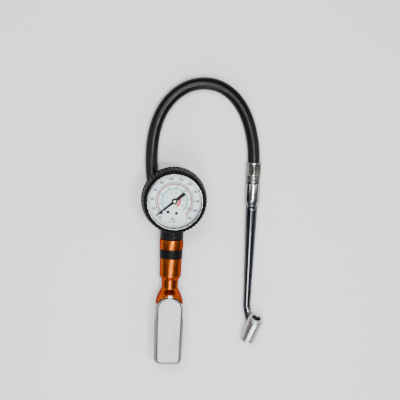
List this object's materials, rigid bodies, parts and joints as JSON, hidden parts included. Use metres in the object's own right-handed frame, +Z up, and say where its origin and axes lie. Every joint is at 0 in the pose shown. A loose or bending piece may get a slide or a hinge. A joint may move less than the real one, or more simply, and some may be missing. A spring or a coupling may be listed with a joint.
{
  "type": "tyre inflator with gauge",
  "caption": "Hand tyre inflator with dial gauge, press lever, short hose and dual-foot chuck, lying on its back.",
  "frame": {"origin": "bottom centre of the rigid pieces' box, on the surface that the inflator lies on", "axes": "+Y along the body axis towards the gauge, +Z up out of the gauge face, +X from the body towards the chuck"},
  "size_m": [0.1375, 0.3064, 0.055],
  "materials": {
    "anodised_orange": "orange anodised, polished",
    "rubber": "plain black rubber",
    "boot_rubber": "moulded black rubber with fine ribs",
    "hose_rubber": "smooth black hose rubber",
    "brass": "turned brass",
    "steel": "plain steel",
    "lever_chrome": "satin plated pressed steel",
    "chrome": "bright chrome plate",
    "black_paint": "black coated metal",
    "dial_face": "pale printed dial",
    "needle_black": "matt black paint",
    "lens_glass": "clear lens"
  },
  "bodies": {
    "inflator": {"body_casting": "anodised_orange", "grip_band": "rubber", "inlet_bush": "brass", "inlet_filter": "steel", "valve_end_plug": "brass", "valve_spring": "steel", "valve_seat": "rubber", "valve_stem_seal": "rubber", "valve_guide": "brass", "lever_pivot_pin": "steel", "head_block": "black_paint", "head_lock_screw": "steel", "hose_body_fitting": "brass", "hose_body_ferrule": "chrome", "hose": "hose_rubber", "hose_chuck_ferrule": "chrome", "hose_chuck_fitting": "brass", "chuck_barrel": "chrome", "chuck_stem": "chrome", "chuck_head": "chrome", "upper_foot_cap": "chrome", "upper_foot_seal": "rubber", "upper_foot_depressor_spring": "steel", "lower_foot_cap": "chrome", "lower_foot_seal": "rubber", "lower_foot_depressor_spring": "steel", "gauge_boot": "boot_rubber", "gauge_case": "black_paint", "lens_gasket": "rubber", "gauge_lens": "lens_glass", "bezel_ring": "chrome", "gauge_socket": "brass", "bourdon_tube": "brass", "tip_link": "steel", "movement_lower_plate": "brass", "movement_upper_plate": "brass", "hairspring": "steel", "dial_plate": "dial_face", "dial_screw_left": "steel", "dial_screw_right": "steel", "stop_pin": "steel"},
    "press_lever": {"lever": "lever_chrome"},
    "valve_poppet": {"valve_plunger": "steel"},
    "needle_assembly": {"needle": "needle_black", "needle_cap": "brass", "pinion_arbor": "steel"},
    "sector": {"sector_gear": "brass"},
    "upper_depressor": {"upper_foot_depressor": "brass"},
    "lower_depressor": {"lower_foot_depressor": "brass"}
  },
  "joints": [
    {"name": "lever_press", "type": "hinge", "parent": "inflator", "child": "press_lever", "pos_m": [-0.034, -0.0502, 0.0195], "axis": [1, 0, 0], "range_deg": [0, 6.5], "stiffness_Nm_per_rad": 1.2, "springref_deg": -11.46},
    {"name": "valve_travel", "type": "slide", "parent": "inflator", "child": "valve_poppet", "axis": [0, 0, -1], "range_m": [0, 0.00155], "deforming": ["valve_spring"]},
    {"name": "needle_sweep", "type": "hinge", "parent": "inflator", "child": "needle_assembly", "pos_m": [-0.034, 0.0695, 0.047], "axis": [0, 0, -1], "range_deg": [0, 270], "stiffness_Nm_per_rad": 0.0002, "springref_deg": -17.19, "deforming": ["hairspring"]},
    {"name": "sector_swing", "type": "hinge", "parent": "inflator", "child": "sector", "pos_m": [-0.05012, 0.06363, 0.0405], "axis": [0, 0, 1], "range_deg": [0, 45]},
    {"name": "upper_depressor_travel", "type": "slide", "parent": "inflator", "child": "upper_depressor", "axis": [-0.2581, -0.8903, -0.3751], "range_m": [0, 0.0015], "stiffness_N_per_m": 900, "springref_m": -0.002, "deforming": ["upper_foot_depressor_spring"]},
    {"name": "lower_depressor_travel", "type": "slide", "parent": "inflator", "child": "lower_depressor", "axis": [0.2581, 0.8903, 0.3751], "range_m": [0, 0.0015], "stiffness_N_per_m": 900, "springref_m": -0.002, "deforming": ["lower_foot_depressor_spring"]}
  ],
  "couplings": [
    {"joint": "valve_travel", "follows": "lever_press", "m_per_rad": 0.0133},
    {"joint": "sector_swing", "follows": "needle_sweep", "ratio": 0.16667}
  ]
}
